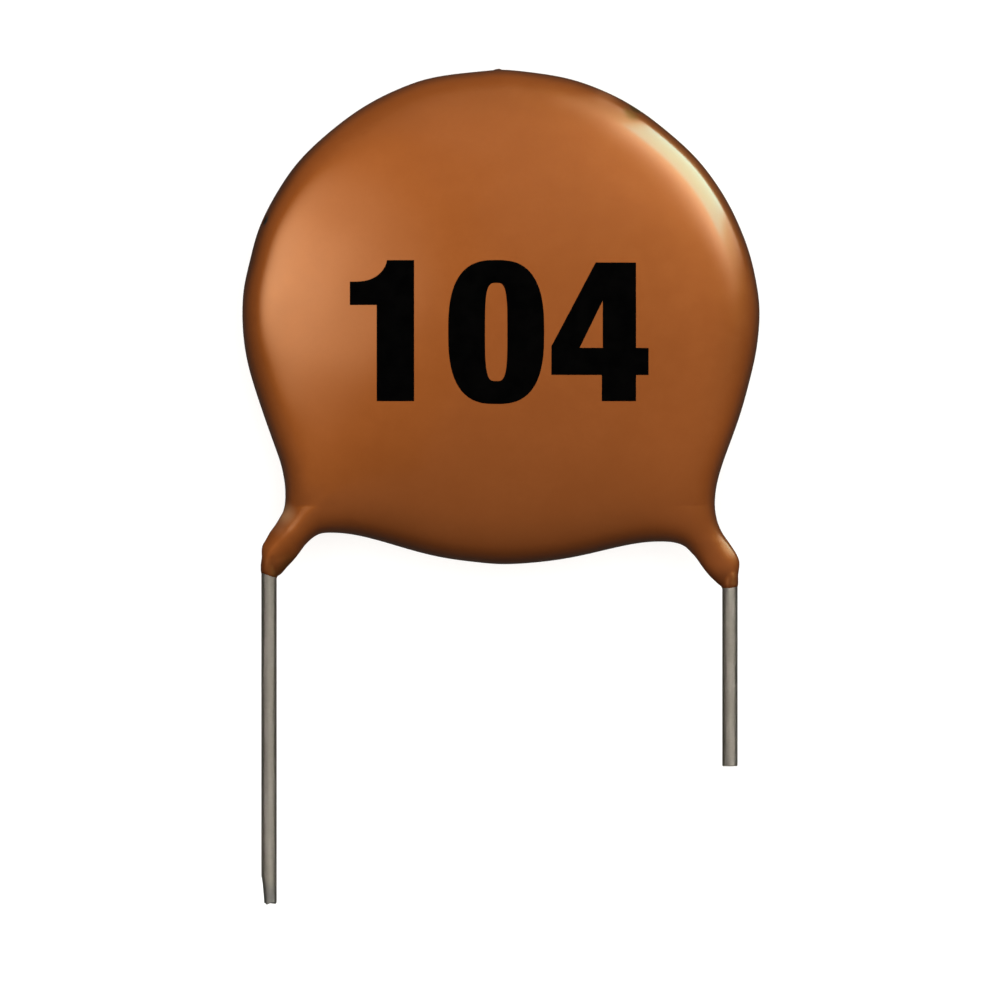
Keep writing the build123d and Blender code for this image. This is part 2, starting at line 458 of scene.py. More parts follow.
# ---- objects ---------------------------------------------------------------------
def new_object(name, points, faces, material, smooth=True):
    mesh = bpy.data.meshes.new(name)
    mesh.from_pydata((np.asarray(points) * MM).tolist(), [], [list(map(int, f)) for f in faces])
    mesh.materials.append(material)
    mesh.polygons.foreach_set("use_smooth", [smooth] * len(mesh.polygons))
    mesh.update()
    obj = bpy.data.objects.new(name, mesh)
    bpy.context.scene.collection.objects.link(obj)
    return obj


# ---- materials ---------------------------------------------------------------------
class Nodes:
    """A small helper to write node trees in a line each."""

    def __init__(self, name):
        self.material = bpy.data.materials.new(name)
        self.material.use_nodes = True
        self.tree = self.material.node_tree
        self.tree.nodes.clear()
        self.out = self.tree.nodes.new("ShaderNodeOutputMaterial")
        self.bsdf = self.tree.nodes.new("ShaderNodeBsdfPrincipled")
        self.tree.links.new(self.bsdf.outputs[0], self.out.inputs[0])

    def node(self, kind, **settings):
        n = self.tree.nodes.new("ShaderNode" + kind)
        for k, v in settings.items():
            setattr(n, k, v)
        return n

    def put(self, socket, value):
        if isinstance(value, bpy.types.NodeSocket):
            self.tree.links.new(value, socket)
        elif isinstance(value, (tuple, list)) and len(value) == 3 and len(socket.default_value) == 4:
            socket.default_value = (*value, 1)
        else:
            socket.default_value = value

    def math(self, kind, a, b=0.0, c=0.0):
        n = self.node("Math", operation=kind)
        for s, v in zip(n.inputs, (a, b, c)):
            self.put(s, v)
        return n.outputs[0]

    def span(self, value, lo, hi, to_lo=0.0, to_hi=1.0, kind="SMOOTHSTEP"):
        n = self.node("MapRange", interpolation_type=kind)
        for s, v in zip(n.inputs, (value, lo, hi, to_lo, to_hi)):
            self.put(s, v)
        return n.outputs[0]

    def mix(self, share, a, b, kind="MIX"):
        n = self.node("Mix", data_type="RGBA", blend_type=kind)
        self.put(n.inputs[0], share)
        self.put(n.inputs[6], a)
        self.put(n.inputs[7], b)
        return n.outputs[2]

    def place(self, scale=1000.0):
        """Position on the object, in millimetres when scale is 1000."""
        t = self.node("TexCoord")
        m = self.node("Mapping")
        m.inputs["Scale"].default_value = (scale,) * 3 if isinstance(scale, float) else scale
        self.put(m.inputs["Vector"], t.outputs["Object"])
        return m.outputs[0]

    def noise(self, where, scale, detail=3.0, rough=0.5, twist=0.0):
        n = self.node("TexNoise")
        self.put(n.inputs["Vector"], where)
        self.put(n.inputs["Scale"], scale)
        self.put(n.inputs["Detail"], detail)
        self.put(n.inputs["Roughness"], rough)
        self.put(n.inputs["Distortion"], twist)
        return n.outputs[0]

    def spots(self, where, scale):
        n = self.node("TexVoronoi")
        self.put(n.inputs["Vector"], where)
        self.put(n.inputs["Scale"], scale)
        return n.outputs["Distance"]

    def near(self, where, point, radius, soft):
        """1 within radius of a point, falling to 0 over soft."""
        n = self.node("VectorMath", operation="DISTANCE")
        self.put(n.inputs[0], where)
        self.put(n.inputs[1], point)
        return self.span(n.outputs["Value"], radius + soft, max(radius - soft, 0.0), 0.0, 1.0)

    def bump(self, height, strength, distance, after=None):
        n = self.node("Bump")
        self.put(n.inputs["Strength"], strength)
        self.put(n.inputs["Distance"], distance)
        self.put(n.inputs["Height"], height)
        if after is not None:
            self.put(n.inputs["Normal"], after)
        return n.outputs[0]

    def set(self, **values):
        for k, v in values.items():
            self.put(self.bsdf.inputs[k.replace("_", " ")], v)


def srgb(r, g, b):
    return tuple(
        (c / 255 / 12.92) if c / 255 <= 0.04045 else ((c / 255 + 0.055) / 1.055) ** 2.4 for c in (r, g, b)
    )


def resin_material():
    m = Nodes("dipped_resin")
    at = m.place()
    part = m.node("SeparateXYZ")
    m.put(part.inputs[0], at)
    x, y, z = part.outputs
    cloud = m.noise(at, 0.55, 3.0, 0.5)
    grain = m.noise(at, 5.5, 4.0, 0.6)
    face = m.mix(m.span(cloud, 0.35, 0.65), (0.291, 0.0742, 0.0134), (0.304, 0.0789, 0.0150))
    face = m.mix(m.span(grain, 0.3, 0.7, 0.0, 0.5), face, (0.278, 0.0703, 0.0126))
    # painted shade: the colour is darkened lower down and a little towards the top edge,
    # and darkened as the skin turns over the rim, where the light falls off
    painted_low_shade = m.span(y, 5.0, -7.2, 1.0, 0.82, "LINEAR")
    painted_low_shade = m.math("MULTIPLY", painted_low_shade, m.span(y, -3.2, -7.4, 1.0, 0.86))
    painted_low_shade = m.math("MULTIPLY", painted_low_shade, m.span(y, 4.6, 7.0, 1.0, 0.93))
    drop = m.node("Attribute", attribute_name="rim_mm")
    rim = m.math("ADD", drop.outputs["Fac"], m.math("MULTIPLY", m.math("SUBTRACT", cloud, 0.5), 0.10))
    # painted rim shade: a broad band that darkens towards the outline
    wide = m.span(rim, 0.25, 1.8, 0.82, 1.0)
    # the painted rim shade is weaker down both flanks, above the legs
    flank = m.math("MULTIPLY", m.span(m.math("ABSOLUTE", x), 3.0, 6.0), m.span(y, -1.0, -4.8))
    wide = m.math("ADD", wide, m.math("MULTIPLY", m.math("SUBTRACT", 1.06, wide), m.math("MULTIPLY", flank, 0.8)))
    # painted rim shade, darkest right at the outline
    close = m.span(rim, 0.0, 0.30, 0.62, 1.0)
    # more painted rim shade on the upper left rim
    upper_left = m.math("MULTIPLY", m.span(x, -5.0, -7.0), m.span(y, 0.2, 1.6))
    close = m.math("MULTIPLY", close, m.math("SUBTRACT", 1.0, m.math("MULTIPLY", upper_left, m.span(rim, 0.05, 0.40, 0.42, 0.0))))
    shade = m.math("MULTIPLY", m.math("MULTIPLY", painted_low_shade, wide), close)
    base = m.mix(1.0, face, shade, "MULTIPLY")
    # the legs are redder, and darkest at the wires
    leg = m.node("Attribute", attribute_name="leg")
    base = m.mix(m.math("MULTIPLY", leg.outputs["Fac"], 0.45), base, (0.225, 0.056, 0.0120))
    tip = m.node("Attribute", attribute_name="tip_mm")
    tip_share = m.math("MULTIPLY", m.span(tip.outputs["Fac"], 0.20, 0.95, 1.0, 0.0), leg.outputs["Fac"])
    base = m.mix(m.math("MULTIPLY", tip_share, 0.85), base, (0.085, 0.019, 0.0055))
    # the left leg's end is the darkest; on its inner side, where the skin faces right and down, it is darkened further
    # as painted shade
    left_leg = m.math("MULTIPLY", leg.outputs["Fac"], m.span(x, -4.0, -5.0))
    base = m.mix(m.math("MULTIPLY", m.math("MULTIPLY", tip_share, left_leg), 0.4), base, (0.055, 0.009, 0.0035))
    base = m.mix(m.math("MULTIPLY", tip_share, 0.2), base, (0.055, 0.014, 0.0040))
    turn = m.node("Attribute", attribute_name="turn")
    inner = m.math("MULTIPLY", m.span(turn.outputs["Fac"], 0.10, 0.60), m.span(tip.outputs["Fac"], 1.05, 0.60))
    base = m.mix(m.math("MULTIPLY", m.math("MULTIPLY", inner, left_leg), 0.5), base, (0.030, 0.012, 0.0020))
    # painted highlights: pale patches over the left shoulder and at the top right stand in for soft highlights
    flat = m.node("CombineXYZ")
    m.put(flat.inputs[0], x)
    m.put(flat.inputs[1], y)
    front = m.span(z, MID_Z - 0.10, MID_Z + 0.25)
    painted_highlight = m.math("MULTIPLY", m.near(flat.outputs[0], (-7.02, -6.48, 0.0), 0.25, 0.23), 0.90)
    base = m.mix(m.math("MULTIPLY", painted_highlight, front), base, (0.38, 0.180, 0.080))
    painted_highlight = m.math("MULTIPLY", m.near(flat.outputs[0], (-7.18, -6.90, 0.0), 0.20, 0.22), 0.40)
    base = m.mix(m.math("MULTIPLY", painted_highlight, front), base, (0.30, 0.120, 0.050))
    painted_highlight = m.math("MULTIPLY", m.near(flat.outputs[0], (3.42, 7.14, 0.0), 0.30, 0.28), 0.60)
    base = m.mix(m.math("MULTIPLY", painted_highlight, front), base, (0.33, 0.115, 0.040))
    # a dark speck on the left rim and a dark blot by the upper right rim
    speck = m.near(at, (-7.68, 3.06, MID_Z + 0.42), 0.15, 0.05)
    base = m.mix(speck, base, (0.004, 0.003, 0.002))
    blot = m.near(at, (4.24, 6.52, MID_Z + 0.74), 0.27, 0.13)
    base = m.mix(m.math("MULTIPLY", blot, 0.8), base, (0.130, 0.050, 0.0100))
    chip = m.near(at, (4.39, 6.72, MID_Z + 0.25), 0.24, 0.10)
    base = m.mix(m.math("MULTIPLY", chip, 0.8), base, (0.040, 0.024, 0.0045))
    nib = m.near(at, (-0.10, 8.00, MID_Z), 0.10, 0.06)
    base = m.mix(m.math("MULTIPLY", nib, 0.8), base, (0.020, 0.010, 0.0040))
    pore = m.span(m.spots(at, 1.6), 0.05, 0.02)
    base = m.mix(m.math("MULTIPLY", pore, 0.25), base, (0.170, 0.050, 0.0120))
    rough = m.span(m.noise(at, 2.2, 3.0, 0.55), 0.3, 0.7, 0.28, 0.33)
    rough = m.math("ADD", rough, m.math("MULTIPLY", blot, 0.25))
    # the glaze is thinner over the blot, along the left leg and where the resin ends
    right_leg = m.math("MULTIPLY", leg.outputs["Fac"], m.span(x, 4.0, 5.0))
    rough = m.math("ADD", rough, m.math("MULTIPLY", left_leg, 0.22))
    rough = m.math("ADD", rough, m.math("MULTIPLY", right_leg, 0.05))
    rough = m.math("ADD", rough, m.math("MULTIPLY", tip_share, 0.10))
    glaze = m.math("SUBTRACT", 1.0, m.math("MULTIPLY", blot, 0.85))
    glaze = m.math("MULTIPLY", glaze, m.math("SUBTRACT", 1.0, m.math("MULTIPLY", left_leg, 0.75)))
    glaze = m.math("MULTIPLY", glaze, m.math("SUBTRACT", 1.0, m.math("MULTIPLY", tip_share, 0.8)))
    peel = m.noise(at, 1.1, 2.0, 0.45)
    tooth = m.noise(at, 14.0, 2.0, 0.5)
    normal = m.bump(peel, 0.30, 0.000010)
    normal = m.bump(tooth, 0.20, 0.0000012, normal)
    m.set(
        Base_Color=base,
        Roughness=rough,
        IOR=1.5,
        Specular_IOR_Level=1.0,
        Specular_Tint=(1.0, 0.42, 0.12),
        Coat_Weight=glaze,
        Coat_Roughness=0.13,
        Coat_IOR=1.45,
        Normal=normal,
    )
    return m.material


def tin_material():
    m = Nodes("tinned_wire")
    at = m.place()
    long = m.place((9000.0, 350.0, 9000.0))
    lines = m.noise(long, 1.0, 4.0, 0.6)
    cloud = m.noise(at, 1.3, 3.0, 0.55)
    fine = m.noise(at, 9.0, 3.0, 0.6)
    base = m.mix(m.span(lines, 0.3, 0.7), (0.47, 0.435, 0.375), (0.53, 0.495, 0.435))
    base = m.mix(m.span(cloud, 0.42, 0.68, 0.0, 0.45), base, (0.40, 0.365, 0.300))
    base = m.mix(m.span(fine, 0.62, 0.78, 0.0, 0.25), base, (0.60, 0.57, 0.52))
    # bruised and duller at the nipped end
    part = m.node("SeparateXYZ")
    m.put(part.inputs[0], at)
    base = m.mix(m.span(part.outputs[1], -18.25, -18.95, 0.0, 0.65), base, (0.235, 0.240, 0.235))
    rough = m.span(m.math("ADD", m.math("MULTIPLY", cloud, 0.6), m.math("MULTIPLY", lines, 0.4)), 0.3, 0.7, 0.36, 0.46)
    normal = m.bump(lines, 0.3, 0.0000016)
    normal = m.bump(fine, 0.3, 0.0000016, normal)
    m.set(Base_Color=base, Metallic=1.0, Roughness=rough, Normal=normal)
    return m.material


def ink_material():
    m = Nodes("black_ink")
    at = m.place()
    cloud = m.noise(at, 1.6, 4.0, 0.6)
    fine = m.noise(at, 16.0, 3.0, 0.6)
    base = m.mix(m.span(cloud, 0.3, 0.7), (0.0006, 0.0006, 0.0006), (0.0014, 0.0013, 0.0012))
    rough = m.span(fine, 0.3, 0.7, 0.72, 0.86)
    normal = m.bump(fine, 0.3, 0.0000025)
    m.set(Base_Color=base, Roughness=rough, IOR=1.45, Specular_IOR_Level=0.02, Normal=normal)
    return m.material


def ceramic_material():
    m = Nodes("fired_ceramic")
    at = m.place()
    cloud = m.noise(at, 0.8, 4.0, 0.6)
    fine = m.noise(at, 20.0, 3.0, 0.6)
    base = m.mix(m.span(cloud, 0.3, 0.7), (0.52, 0.42, 0.30), (0.60, 0.50, 0.37))
    base = m.mix(m.span(fine, 0.62, 0.72, 0.0, 0.5), base, (0.36, 0.28, 0.19))
    m.set(Base_Color=base, Roughness=m.span(fine, 0.3, 0.7, 0.60, 0.78), Normal=m.bump(fine, 0.4, 0.000004))
    return m.material


def silver_material():
    m = Nodes("fired_silver")
    at = m.place()
    cloud = m.noise(at, 1.2, 4.0, 0.6)
    fine = m.noise(at, 26.0, 3.0, 0.6)
    base = m.mix(m.span(cloud, 0.3, 0.7), (0.66, 0.65, 0.62), (0.78, 0.77, 0.74))
    m.set(Base_Color=base, Metallic=1.0, Roughness=m.span(fine, 0.3, 0.7, 0.42, 0.60), Normal=m.bump(fine, 0.4, 0.000003))
    return m.material


def solder_material():
    m = Nodes("soft_solder")
    at = m.place()
    cloud = m.noise(at, 2.0, 3.0, 0.55)
    frost = m.spots(at, 7.0)
    base = m.mix(m.span(cloud, 0.3, 0.7), (0.50, 0.50, 0.51), (0.64, 0.64, 0.65))
    base = m.mix(m.span(frost, 0.1, 0.5, 0.35, 0.0), base, (0.42, 0.42, 0.43))
    m.set(Base_Color=base, Metallic=1.0, Roughness=m.span(frost, 0.0, 0.6, 0.22, 0.38), Normal=m.bump(frost, 0.4, 0.000006))
    return m.material


resin, tin, ink = resin_material(), tin_material(), ink_material()

# ---- coating ---------------------------------------------------------------------
STEP = 0.09
points, faces, normals = build_skin(STEP)
coating = new_object("coating_skin", points, faces, resin)
mesh = coating.data
# distance in from the silhouette (for the painted rim shade), how far a point is on a leg, which way it faces (for
# painted shade on the left leg's inner side), and how far from its end
near = np.full(len(points), 9.0)
for k in range(0, len(swell.edge), 1):
    near = np.minimum(near, np.hypot(points[:, 0] - swell.edge[k, 0], points[:, 1] - swell.edge[k, 1]))
near = np.where(points[:, 2] < 0.25 * MID_Z, np.maximum(near, 0), near)
for name, values in (
    ("rim_mm", near),
    ("leg", leg_share(points[:, 0], points[:, 1])[0]),
    ("turn", 0.8 * normals[:, 0] - 0.6 * normals[:, 1]),
    ("tip_mm", points[:, 1] - np.where(points[:, 0] < 0, LEFT_COAT_Y, RIGHT_COAT_Y) + 0.1),
):
    layer = mesh.attributes.new(name, "FLOAT", "POINT")
    layer.data.foreach_set("value", values.astype(np.float32))
mesh.normals_split_custom_set_from_vertices(normals.tolist())
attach(coating, "root")
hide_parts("coating")


# ---- leads -------------------------------------------------------------------------
def wire(name, centre, sides, tip):
    """A round wire along a line. tip shapes its outer end: it moves each end ring."""
    fine = resample(centre, 0.02)
    s = np.r_[0, np.cumsum(np.linalg.norm(np.diff(fine, axis=0), axis=1))]
    marks = sorted(
        set(np.round(np.r_[np.linspace(0, 1.0, 26), np.arange(1.0, s[-1] - 0.05, 0.12), s[-1]], 4).tolist())
    )
    line = np.stack([np.interp(marks, s, fine[:, k]) for k in range(3)], 1)
    dirs = np.gradient(line, np.array(marks), axis=0)
    dirs /= np.linalg.norm(dirs, axis=1)[:, None]
    side = np.array([1.0, 0, 0])
    rings = []
    angle = np.arange(sides) / sides * 2 * math.pi
    for k, (c, d) in enumerate(zip(line, dirs)):
        side = side - d * (side @ d)
        side /= np.linalg.norm(side)
        up = np.cross(side, d)
        ring = c + LEAD_R * (np.cos(angle)[:, None] * side + np.sin(angle)[:, None] * up)
        rings.append(tip(ring, c, marks[k], angle))
    pts = list(np.vstack(rings))
    quads = []
    for k in range(len(rings) - 1):
        for j in range(sides):
            a, b = k * sides + j, k * sides + (j + 1) % sides
            quads.append((a, b, b + sides, a + sides))
    # end faces, as rings that close on a middle point
    for base, first in ((0, True), ((len(rings) - 1) * sides, False)):
        rim = np.array(pts[base : base + sides])
        mid = rim.mean(0)
        last = list(range(base, base + sides))
        for share in (0.9, 0.55, 0.25):
            start = len(pts)
            for j, q in enumerate(rim):
                w = mid + (q - mid) * share
                if first:
                    w = w + np.array([0, -0.012 * (1 - share) ** 0.5 if share < 0.95 else 0, 0])
                pts.append(w)
            now = list(range(start, start + sides))
            for j in range(sides):
                f = (last[j], last[(j + 1) % sides], now[(j + 1) % sides], now[j])
                quads.append(f[::-1] if first else f)
            last = now
        start = len(pts)
        pts.append(mid + (np.array([0, -0.012, 0]) if first else 0))
        for j in range(sides):
            f = (last[j], last[(j + 1) % sides], start)
            quads.append(f[::-1] if first else f)
    obj = new_object(name, pts, quads, tin)
    bm = bmesh.new()
    bm.from_mesh(obj.data)
    bmesh.ops.recalc_face_normals(bm, faces=bm.faces)
    bm.to_mesh(obj.data)
    bm.free()
    return obj


def nipped(ring, c, s, angle):
    """The end of the longer lead: nipped off from its left side, with a ragged end."""
    t = np.clip(1 - s / 0.85, 0, 1)
    off = ring - c
    off[:, 2] *= 1 - 0.30 * t**2
    off[:, 0] += 0.095 * t**0.6 * np.clip(-off[:, 0] / LEAD_R, 0, 1)
    out = c + off
    if s < 0.42:
        e = np.clip(1 - s / 0.42, 0, 1)
        out[:, 1] += e**2 * (0.028 * np.sin(2 * angle + 0.6) + 0.022 * np.sin(5 * angle + 1.1))
        out[:, 0] += 0.006 * e * np.sin(3 * angle)
    return out


def sheared(ring, c, s, angle):
    """The end of the shorter lead: cut square, with its rim just broken."""
    t = np.clip(1 - s / 0.03, 0, 1)
    out = c + (ring - c) * (1 - 0.05 * t**2)
    if s < 0.1:
        out[:, 1] += 0.006 * np.clip(1 - s / 0.1, 0, 1) * np.sin(angle + 0.4)
    return out


wires = []
for name, centre, node, tip in (
    ("left_lead_wire", left_centre, "left_lead", nipped),
    ("right_lead_wire", right_centre, "right_lead", sheared),
):
    obj = wire(name, centre, 40, tip)
    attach(obj, "root")
    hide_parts(node)
    wires.append(obj)

# ---- printed figures -----------------------------------------------------------------
# seen through the lens the face is a little nearer than the mid-plane, so the figures
# are drawn that much smaller about the middle of the view
VIEW_AT = (-0.0325, -6.02)
VIEW_DISTANCE = 271.2


def figure_one():
    hook = [(-3.710, 1.790), (-3.836, 1.487), (-4.048, 1.276), (-4.296, 1.155), (-4.611, 1.100), (-4.924, 1.093)]
    dense = []
    p = np.array(hook)
    s = np.r_[0, np.cumsum(np.linalg.norm(np.diff(p, axis=0), axis=1))]
    coef = [np.polyfit(s, p[:, k], 4) for k in range(2)]
    for v in np.linspace(0, s[-1], 14):
        dense.append((np.polyval(coef[0], v), np.polyval(coef[1], v)))
    return [[(-2.828, -2.802), (-2.828, 1.790)] + dense + [(-4.924, 0.332), (-4.048, 0.332), (-4.048, -2.802)]], []


def oval(cx, cy, a, b, n, count):
    out = []
    for k in range(count):
        t = 2 * math.pi * k / count
        c, s = math.cos(t), math.sin(t)
        out.append((cx + a * math.copysign(abs(c) ** (2 / n), c), cy + b * math.copysign(abs(s) ** (2 / n), s)))
    return out


def figure_zero():
    return [oval(-0.156, -0.553, 1.562, 2.343, 2.7, 120)], [oval(-0.156, -0.553, 0.364, 1.598, 3.6, 90)]


def figure_four():
    body = [
        (3.085, 1.715), (4.400, 1.715), (4.400, -1.067), (4.807, -1.067), (4.807, -1.949),
        (4.400, -1.949), (4.400, -2.802), (3.283, -2.802), (3.283, -1.949), (1.640, -1.949),
        (1.640, -1.015),
    ]  # fmt: skip
    return [body], [[(3.313, 0.472), (2.558, -1.067), (3.313, -1.067)]]


def along_edges(loop, step):
    out = []
    for (x0, y0), (x1, y1) in zip(loop, loop[1:] + loop[:1]):
        k = max(1, int(math.ceil(math.hypot(x1 - x0, y1 - y0) / step)))
        out += [(x0 + (x1 - x0) * i / k, y0 + (y1 - y0) * i / k) for i in range(k)]
    return out


INK = 0.020  # how far the ink stands out
ROOT = 0.012  # how far its underside is let into the resin


def figure_mesh(outer, holes, step):
    loops = [along_edges(lp, step) for lp in outer + holes]
    px = np.arange(-5.2, 5.2, step * 1.15)
    py = np.arange(-3.1, 2.1, step * 1.15)
    gx, gy = (g.ravel() for g in np.meshgrid(px, py))
    keep = np.zeros(len(gx), bool)
    for lp in outer:
        keep |= inside(gx, gy, lp)
    for lp in holes:
        keep &= ~inside(gx, gy, lp)
    for lp in outer + holes:
        keep &= gap_to(gx, gy, lp) > step * 0.6
    verts, edges = [], []
    for lp in loops:
        start = len(verts)
        verts += [Vector(v) for v in lp]
        edges += [(start + i, start + (i + 1) % len(lp)) for i in range(len(lp))]
    rim = len(verts)
    verts += [Vector((float(a), float(b))) for a, b in zip(gx[keep], gy[keep])]
    out = delaunay_2d_cdt(verts, edges, [], 0, 1e-7)
    xy = np.array([list(v) for v in out[0]])
    tris = [list(f) for f in out[2]]
    mid = np.array([xy[f].mean(0) for f in tris])
    good = np.zeros(len(mid), bool)
    for lp in outer:
        good |= inside(mid[:, 0], mid[:, 1], lp)
    for lp in holes:
        good &= ~inside(mid[:, 0], mid[:, 1], lp)
    tris = [f for f, g in zip(tris, good) if g]
    return xy, tris


def build_figures():
    pts, tris = [], []
    k = (VIEW_DISTANCE - HALF_THICK * 0.97) / VIEW_DISTANCE
    step = 0.10
    for outer, holes in (figure_one(), figure_zero(), figure_four()):
        xy, faces2 = figure_mesh(outer, holes, step)
        used = sorted(set(i for f in faces2 for i in f))
        new = {i: n for n, i in enumerate(used)}
        xy = xy[used]
        faces2 = [[new[i] for i in f] for f in faces2]
        gap = np.full(len(xy), 9.0)
        for lp in outer + holes:
            gap = np.minimum(gap, gap_to(xy[:, 0], xy[:, 1], lp))
        xy = (xy - VIEW_AT) * k + VIEW_AT
        z = face_top(xy[:, 0], xy[:, 1])
        lift = INK * (0.45 + 0.55 * np.clip(gap / 0.06, 0, 1))
        top = np.c_[xy, z + lift]
        low = np.c_[xy, z - ROOT]
        start, n = len(pts), len(xy)
        pts += list(top) + list(low)
        count = {}
        for f in faces2:
            a, b, c = f
            if np.cross(xy[b] - xy[a], xy[c] - xy[a]) < 0:
                f = [a, c, b]
            tris.append([start + i for i in f])
            tris.append([start + n + i for i in f[::-1]])
            for i, j in zip(f, f[1:] + f[:1]):
                count[(i, j)] = count.get((i, j), 0) + 1
        for i, j in count:
            if (j, i) not in count:
                tris.append([start + j, start + i, start + n + i, start + n + j])
    return pts, tris


pts, tris = build_figures()
figures = new_object("value_figures", pts, tris, ink, smooth=False)
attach(figures, "root")
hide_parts("value_mark")

# ---- inner pieces keep their CAD shape and get their own materials ---------------------
for node, material in (
    ("ceramic_disc", ceramic_material()),
    ("front_electrode", silver_material()),
    ("back_electrode", silver_material()),
    ("front_solder", solder_material()),
    ("back_solder", solder_material()),
    ("coating", resin),
    ("left_lead", tin),
    ("right_lead", tin),
    ("value_mark", ink),
):
    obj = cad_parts[node]
    if not obj.data.materials:
        obj.data.materials.append(material)
    for slot in range(len(obj.data.materials)):
        obj.data.materials[slot] = material


# ---- floor, backdrop and light ----------------------------------------------------------
def floor_material():
    m = Nodes("pale_floor")
    cloud = m.noise(m.place(), 0.02, 3.0, 0.5)
    m.set(
        Base_Color=m.mix(m.span(cloud, 0.3, 0.7), (0.90, 0.90, 0.90), (0.93, 0.93, 0.93)),
        Roughness=0.9,
        Specular_IOR_Level=0.0,
        Emission_Color=(1.0, 1.0, 1.0),
        Emission_Strength=0.13,
    )
    return m.material


def backdrop_material():
    m = Nodes("pale_backdrop")
    m.tree.nodes.remove(m.bsdf)
    glow = m.node("Emission")
    glow.inputs[0].default_value = (1, 1, 1, 1)
    glow.inputs[1].default_value = 1.0
    m.tree.links.new(glow.outputs[0], m.out.inputs[0])
    return m.material


def disc_points(radii, count):
    pts = [(0.0, 0.0, 0.0)]
    faces = []
    for i, r in enumerate(radii):
        for k in range(count):
            a = 2 * math.pi * k / count
            pts.append((r * math.cos(a), r * math.sin(a), 0.0))
    for k in range(count):
        faces.append((0, 1 + k, 1 + (k + 1) % count))
    for i in range(len(radii) - 1):
        for k in range(count):
            a, b = 1 + i * count + k, 1 + i * count + (k + 1) % count
            faces.append((a, a + count, b + count, b))
    return pts, faces


pts, faces = disc_points([30, 120, 400, 900], 96)
floor = new_object("floor", pts, faces, floor_material())
floor.visible_glossy = False
floor.visible_diffuse = False

# an upright wall of light behind everything, seen by the camera only
rows, count = [], 96
for h in np.linspace(0, 90, 19):
    r, z = 900 * math.cos(math.radians(h)), 900 * math.sin(math.radians(h)) - 1.0
    rows += [(r * math.cos(2 * math.pi * k / count), r * math.sin(2 * math.pi * k / count), z) for k in range(count)]
faces = [
    (i * count + k, i * count + (k + 1) % count, (i + 1) * count + (k + 1) % count, (i + 1) * count + k)
    for i in range(18)
    for k in range(count)
]
backdrop = new_object("backdrop", rows, faces, backdrop_material())
for flag in ("visible_glossy", "visible_diffuse", "visible_transmission", "visible_volume_scatter", "visible_shadow"):
    setattr(backdrop, flag, False)


def aim(obj, azimuth, elevation, distance, target=(0.0, -0.0005, 0.002)):
    a, e = math.radians(azimuth), math.radians(elevation)
    way = Vector((math.cos(a) * math.cos(e), math.sin(a) * math.cos(e), math.sin(e)))
    obj.location = Vector(target) + way * distance
    obj.rotation_euler = way.to_track_quat("Z", "Y").to_euler()


def receivers(name, *objs):
    """What a light falls on, where it doesn't fall on everything."""
    group = bpy.data.collections.new(name)
    for obj in objs:
        group.objects.link(obj)
    return group


def card(name, azimuth, elevation, wide, tall, shine, group, distance=0.35):
    """A glowing card out of the camera's sight, seen in gloss alone. wide and tall are
    its half sizes over its distance; shine adds the nodes of its colour and strength."""
    w, t = wide * distance, tall * distance
    pts = [(w * (i / 4 - 1), t * (j / 4 - 1), 0.0) for j in range(9) for i in range(9)]
    faces = [(j * 9 + i, j * 9 + i + 1, j * 9 + i + 10, j * 9 + i + 9) for j in range(8) for i in range(8)]
    m = Nodes(name)
    m.tree.nodes.remove(m.bsdf)
    glow = m.node("Emission")
    colour, strength = shine(m, m.place((1 / distance,) * 3))
    m.put(glow.inputs[0], colour)
    m.put(glow.inputs[1], strength)
    m.tree.links.new(glow.outputs[0], m.out.inputs[0])
    obj = new_object(name, np.array(pts) / MM, faces, m.material, smooth=False)
    aim(obj, azimuth, elevation, distance)
    for flag in ("visible_camera", "visible_diffuse", "visible_transmission", "visible_volume_scatter", "visible_shadow"):
        setattr(obj, flag, False)
    obj.light_linking.receiver_collection = group
    return obj


def far_light(name, azimuth, elevation, angle, strength, colour, glossy=False, shadow=True, group=None):
    light = bpy.data.lights.new(name, "SUN")
    light.angle = math.radians(angle)
    light.energy = strength
    light.color = colour
    light.use_shadow = shadow
    if group and hasattr(light, "cycles"):
        # sampled from the light alone, so that the cards don't stand in its way
        light.cycles.use_multiple_importance_sampling = False
    obj = bpy.data.objects.new(name, light)
    bpy.context.scene.collection.objects.link(obj)
    aim(obj, azimuth, elevation, 0.5)
    obj.visible_glossy = glossy
    obj.visible_diffuse = not glossy
    obj.visible_camera = False
    if group:
        obj.light_linking.receiver_collection = group
    return obj


on_coating = receivers("takes_window_light", coating)
on_wires = receivers("takes_wire_light", *wires)

far_light("wash", 76, 52, 50, 2.80, (1.0, 0.99, 0.97), shadow=False)
far_light("overhead", 69, 80, 100, 1.25, (1.0, 0.99, 0.97))
far_light("bounce", 0, -88, 160, 1.1, (1.0, 0.97, 0.93), shadow=False)


def left_shine(m, at):
    """A soft round glow, wider on its one side."""
    part = m.node("SeparateXYZ")
    m.put(part.inputs[0], at)
    dx = m.math("MULTIPLY", part.outputs[0], m.span(part.outputs[0], -0.05, 0.05, 1 / LEFT_WIDE, 1.22 / LEFT_WIDE))
    dy = m.math("DIVIDE", part.outputs[1], LEFT_TALL)
    far = m.math("SQRT", m.math("ADD", m.math("MULTIPLY", dx, dx), m.math("MULTIPLY", dy, dy)))
    return (1.0, 0.80, 0.53), m.span(far, 1.0, 0.0, 0.0, LEFT_POWER)


